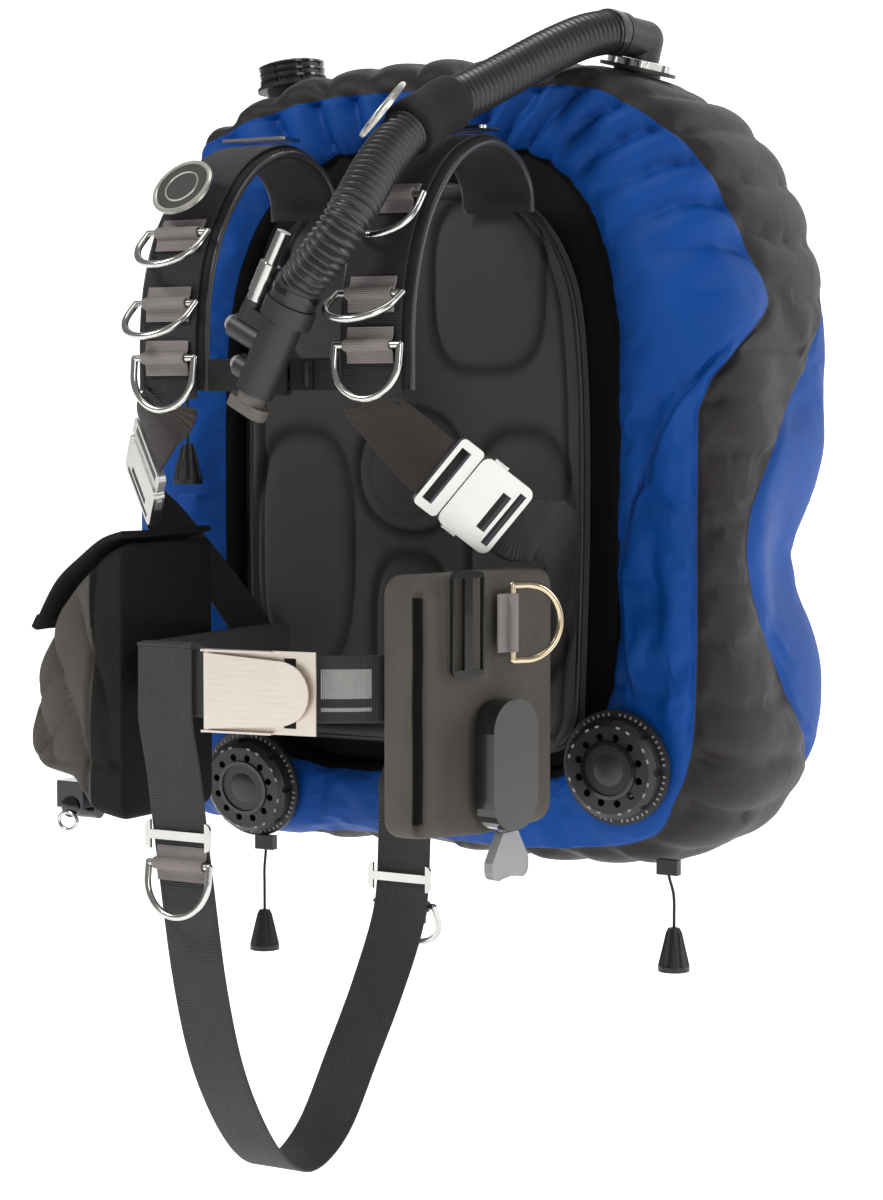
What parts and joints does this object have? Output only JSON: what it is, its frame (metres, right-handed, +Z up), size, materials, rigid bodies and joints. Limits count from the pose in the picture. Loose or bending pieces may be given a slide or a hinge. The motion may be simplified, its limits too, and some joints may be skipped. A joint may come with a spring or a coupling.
{
  "type": "buoyancy compensator vest",
  "caption": "Scuba buoyancy vest: inflatable ring wing, padded back plate, webbing harness with D-rings, buckles, hip pockets, inflator hose and dump valves.",
  "frame": {"origin": "centre of the two tank bolt holes, on the rear face of the back plate", "axes": "+Y from the plate towards the tank, +Z up along the diver's back, +X to the right as seen from the front"},
  "size_m": [0.5946, 0.4997, 0.93],
  "materials": {
    "silver_steel": "polished stainless steel",
    "satin_aluminium": "satin anodised",
    "champagne_steel": "satin stainless with a warm tint",
    "badge_metal": "brushed plate",
    "black_plastic": "fine matt",
    "gloss_black": "moulded",
    "grey_plastic": "fine matt",
    "clear_grey": "translucent grey",
    "pale_button": "matt",
    "blue_nylon": "woven nylon, black gusset",
    "black_nylon": "woven nylon",
    "bladder_skin": "coated inner bladder, air filled",
    "pad_foam": "foam covered in black nylon",
    "webbing": "ribbed webbing",
    "keeper_webbing": "faded grey webbing",
    "hose_rubber": "corrugated rubber",
    "cord_black": "braided cord"
  },
  "bodies": {
    "harness": {"back_plate": "satin_aluminium", "back_pad": "pad_foam", "wing_panel": "black_nylon", "wing_shell": "blue_nylon", "wing_bladder": "bladder_skin", "panel_eyelets": "silver_steel", "wing_ports": "black_plastic", "valve_springs": "silver_steel", "valve_caps": "black_plastic", "elbow_ring": "silver_steel", "hose_elbow": "black_plastic", "inflator_hose": "hose_rubber", "hose_sleeve": "black_nylon", "badges": "badge_metal", "inflator_body": "grey_plastic", "mouthpiece": "clear_grey", "hose_coupling": "silver_steel", "shoulder_pads": "pad_foam", "shoulder_webbing": "webbing", "lower_webbing": "webbing", "ring_keepers": "keeper_webbing", "sternum_strap": "webbing", "sternum_buckle": "black_plastic", "buckle_frames": "satin_aluminium", "buckle_inserts": "satin_aluminium", "waist_belt": "webbing", "waist_buckle": "champagne_steel", "pocket_left": "black_nylon", "pocket_flap": "black_nylon", "pocket_right": "black_nylon", "pocket_clips": "black_plastic", "pocket_pulls": "clear_grey", "webbing_slides": "silver_steel", "crotch_strap": "webbing"},
    "d_ring_left_1": {"d_ring_left_1": "silver_steel"},
    "d_ring_left_2": {"d_ring_left_2": "silver_steel"},
    "d_ring_left_3": {"d_ring_left_3": "silver_steel"},
    "d_ring_right_1": {"d_ring_right_1": "silver_steel"},
    "d_ring_right_2": {"d_ring_right_2": "silver_steel"},
    "d_ring_right_3": {"d_ring_right_3": "silver_steel"},
    "waist_d_ring": {"waist_d_ring": "silver_steel"},
    "crotch_d_ring_front": {"crotch_d_ring_front": "silver_steel"},
    "crotch_d_ring_rear": {"crotch_d_ring_rear": "silver_steel"},
    "waist_buckle_lever": {"waist_buckle_lever": "champagne_steel"},
    "inflate_button": {"inflate_button": "pale_button"},
    "deflate_button": {"deflate_button": "pale_button"},
    "release_tab_left_in": {"release_tab_left_in": "satin_aluminium"},
    "release_tab_left_out": {"release_tab_left_out": "satin_aluminium"},
    "release_tab_right_in": {"release_tab_right_in": "satin_aluminium"},
    "release_tab_right_out": {"release_tab_right_out": "satin_aluminium"},
    "pull_left": {"pull_cord_left": "cord_black", "pull_knob_left": "black_plastic"},
    "valve_poppet_left": {"valve_poppet_left": "gloss_black"},
    "pull_right": {"pull_cord_right": "cord_black", "pull_knob_right": "black_plastic"},
    "valve_poppet_right": {"valve_poppet_right": "gloss_black"},
    "pull_top": {"pull_cord_top": "cord_black", "pull_knob_top": "black_plastic"},
    "valve_poppet_top": {"valve_poppet_top": "gloss_black"}
  },
  "joints": [
    {"name": "d_ring_left_1_swing", "type": "hinge", "parent": "harness", "child": "d_ring_left_1", "pos_m": [-0.095, -0.21519, 0.17025], "axis": [-1, 0, 0], "range_deg": [-4, 70]},
    {"name": "d_ring_left_2_swing", "type": "hinge", "parent": "harness", "child": "d_ring_left_2", "pos_m": [-0.095, -0.23234, 0.11511], "axis": [-1, 0, 0], "range_deg": [-3, 52]},
    {"name": "d_ring_left_3_swing", "type": "hinge", "parent": "harness", "child": "d_ring_left_3", "pos_m": [-0.095, -0.23469, 0.07299], "axis": [-1, 0, 0], "range_deg": [-2, 82]},
    {"name": "d_ring_right_1_swing", "type": "hinge", "parent": "harness", "child": "d_ring_right_1", "pos_m": [0.089, -0.20061, 0.19336], "axis": [-1, 0, 0], "range_deg": [-1, 10]},
    {"name": "d_ring_right_2_swing", "type": "hinge", "parent": "harness", "child": "d_ring_right_2", "pos_m": [0.089, -0.23153, 0.11935], "axis": [-1, 0, 0], "range_deg": [-2, 12]},
    {"name": "d_ring_right_3_swing", "type": "hinge", "parent": "harness", "child": "d_ring_right_3", "pos_m": [0.089, -0.23459, 0.08118], "axis": [-1, 0, 0], "range_deg": [-3, 85]},
    {"name": "waist_d_ring_swing", "type": "hinge", "parent": "harness", "child": "waist_d_ring", "pos_m": [0.1796, -0.176, -0.125], "axis": [0, 0, -1], "range_deg": [-20, 100]},
    {"name": "crotch_d_ring_front_swing", "type": "hinge", "parent": "harness", "child": "crotch_d_ring_front", "pos_m": [-0.054, -0.277, -0.312], "axis": [-1, 0, 0], "range_deg": [-4, 100]},
    {"name": "crotch_d_ring_rear_swing", "type": "hinge", "parent": "harness", "child": "crotch_d_ring_rear", "pos_m": [0, -0.032, -0.376], "axis": [1, 0, 0], "range_deg": [-15, 60]},
    {"name": "waist_buckle_lever_hinge", "type": "hinge", "parent": "harness", "child": "waist_buckle_lever", "pos_m": [-0.01364, -0.29609, -0.175], "axis": [0, 0, -1], "range_deg": [0, 110]},
    {"name": "inflate_button_press", "type": "slide", "parent": "harness", "child": "inflate_button", "axis": [0.8811, -0.0375, -0.4714], "range_m": [0, 0.0025], "stiffness_N_per_m": 1200, "springref_m": -0.002},
    {"name": "deflate_button_press", "type": "slide", "parent": "harness", "child": "deflate_button", "axis": [0.8811, -0.0375, -0.4714], "range_m": [0, 0.0025], "stiffness_N_per_m": 1200, "springref_m": -0.002},
    {"name": "release_tab_left_in_pinch", "type": "slide", "parent": "harness", "child": "release_tab_left_in", "axis": [0.5381, -0.2293, -0.8111], "range_m": [0, 0.002], "stiffness_N_per_m": 1500, "springref_m": -0.001},
    {"name": "release_tab_left_out_pinch", "type": "slide", "parent": "harness", "child": "release_tab_left_out", "axis": [-0.5381, 0.2293, 0.8111], "range_m": [0, 0.002], "stiffness_N_per_m": 1500, "springref_m": -0.001},
    {"name": "release_tab_right_in_pinch", "type": "slide", "parent": "harness", "child": "release_tab_right_in", "axis": [0.5772, 0.2634, 0.773], "range_m": [0, 0.002], "stiffness_N_per_m": 1500, "springref_m": -0.001},
    {"name": "release_tab_right_out_pinch", "type": "slide", "parent": "harness", "child": "release_tab_right_out", "axis": [-0.5772, -0.2634, -0.773], "range_m": [0, 0.002], "stiffness_N_per_m": 1500, "springref_m": -0.001},
    {"name": "pull_left_draw", "type": "slide", "parent": "harness", "child": "pull_left", "axis": [0, 0, -1], "range_m": [0, 0.0088], "stiffness_N_per_m": 260, "springref_m": -0.004},
    {"name": "valve_poppet_left_lift", "type": "slide", "parent": "harness", "child": "valve_poppet_left", "axis": [0, -0.9874, -0.158], "range_m": [0, 0.004]},
    {"name": "pull_right_draw", "type": "slide", "parent": "harness", "child": "pull_right", "axis": [0, 0, -1], "range_m": [0, 0.0088], "stiffness_N_per_m": 260, "springref_m": -0.004},
    {"name": "valve_poppet_right_lift", "type": "slide", "parent": "harness", "child": "valve_poppet_right", "axis": [0, -0.9982, -0.0599], "range_m": [0, 0.004]},
    {"name": "pull_top_draw", "type": "slide", "parent": "harness", "child": "pull_top", "axis": [0, 0, -1], "range_m": [0, 0.00616], "stiffness_N_per_m": 260, "springref_m": -0.004},
    {"name": "valve_poppet_top_lift", "type": "slide", "parent": "harness", "child": "valve_poppet_top", "axis": [-0.1386, 0, 0.9903], "range_m": [0, 0.0028]}
  ],
  "couplings": [
    {"joint": "valve_poppet_left_lift", "follows": "pull_left_draw", "ratio": 0.45},
    {"joint": "valve_poppet_right_lift", "follows": "pull_right_draw", "ratio": 0.45},
    {"joint": "valve_poppet_top_lift", "follows": "pull_top_draw", "ratio": 0.45}
  ]
}
